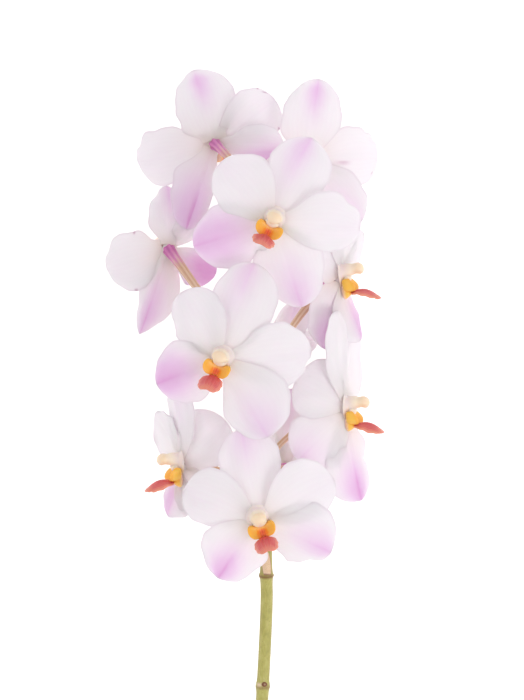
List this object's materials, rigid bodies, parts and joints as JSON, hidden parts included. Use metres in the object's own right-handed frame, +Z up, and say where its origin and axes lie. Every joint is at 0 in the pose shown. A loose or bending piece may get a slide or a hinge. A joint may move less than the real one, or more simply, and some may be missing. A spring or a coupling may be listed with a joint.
{
  "type": "orchid flower stem",
  "caption": "Cut stem of a vanda orchid with large flat white and lilac blooms, orange and coral lips, and a green stalk, lying down.",
  "frame": {"origin": "on the table, under the middle of the spray's box", "axes": "+Y along the stem from its cut end towards the top blooms, +Z up from the table, +X to the right when the spray is seen from above with its top blooms away from the viewer"},
  "size_m": [0.1468, 0.4094, 0.0996],
  "materials": {
    "petal": "waxy fresh petal, slightly translucent, white flushed with lilac along the middle and near the tip",
    "column": "smooth waxy cream",
    "lip_side_lobe": "smooth waxy orange yellow, redder towards the middle",
    "lip_midlobe": "coral red with fine lengthwise ridges",
    "pedicel": "fine lengthwise ridges, magenta pink at the flower and beige towards the stem",
    "stem": "matt olive green, with brown rings at the joints",
    "bract": "thin dry papery beige"
  },
  "bodies": {
    "root": {"stem": "stem", "lowest_bract": "bract", "top_left_perianth": "petal", "top_left_column": "column", "top_left_side_lobes": "lip_side_lobe", "top_left_midlobe": "lip_midlobe", "top_left_pedicel": "pedicel", "top_right_perianth": "petal", "top_right_column": "column", "top_right_side_lobes": "lip_side_lobe", "top_right_midlobe": "lip_midlobe", "top_right_pedicel": "pedicel", "upper_front_perianth": "petal", "upper_front_column": "column", "upper_front_side_lobes": "lip_side_lobe", "upper_front_midlobe": "lip_midlobe", "upper_front_pedicel": "pedicel", "left_back_perianth": "petal", "left_back_column": "column", "left_back_side_lobes": "lip_side_lobe", "left_back_midlobe": "lip_midlobe", "left_back_pedicel": "pedicel", "upper_right_perianth": "petal", "upper_right_column": "column", "upper_right_side_lobes": "lip_side_lobe", "upper_right_midlobe": "lip_midlobe", "upper_right_pedicel": "pedicel", "middle_front_perianth": "petal", "middle_front_column": "column", "middle_front_side_lobes": "lip_side_lobe", "middle_front_midlobe": "lip_midlobe", "middle_front_pedicel": "pedicel", "lower_right_perianth": "petal", "lower_right_column": "column", "lower_right_side_lobes": "lip_side_lobe", "lower_right_midlobe": "lip_midlobe", "lower_right_pedicel": "pedicel", "lower_left_perianth": "petal", "lower_left_column": "column", "lower_left_side_lobes": "lip_side_lobe", "lower_left_midlobe": "lip_midlobe", "lower_left_pedicel": "pedicel", "bottom_front_perianth": "petal", "bottom_front_column": "column", "bottom_front_side_lobes": "lip_side_lobe", "bottom_front_midlobe": "lip_midlobe", "bottom_front_pedicel": "pedicel", "hidden_upper_perianth": "petal", "hidden_upper_column": "column", "hidden_upper_side_lobes": "lip_side_lobe", "hidden_upper_midlobe": "lip_midlobe", "hidden_upper_pedicel": "pedicel", "hidden_lower_perianth": "petal", "hidden_lower_column": "column", "hidden_lower_side_lobes": "lip_side_lobe", "hidden_lower_midlobe": "lip_midlobe", "hidden_lower_pedicel": "pedicel"}
  },
  "joints": []
}
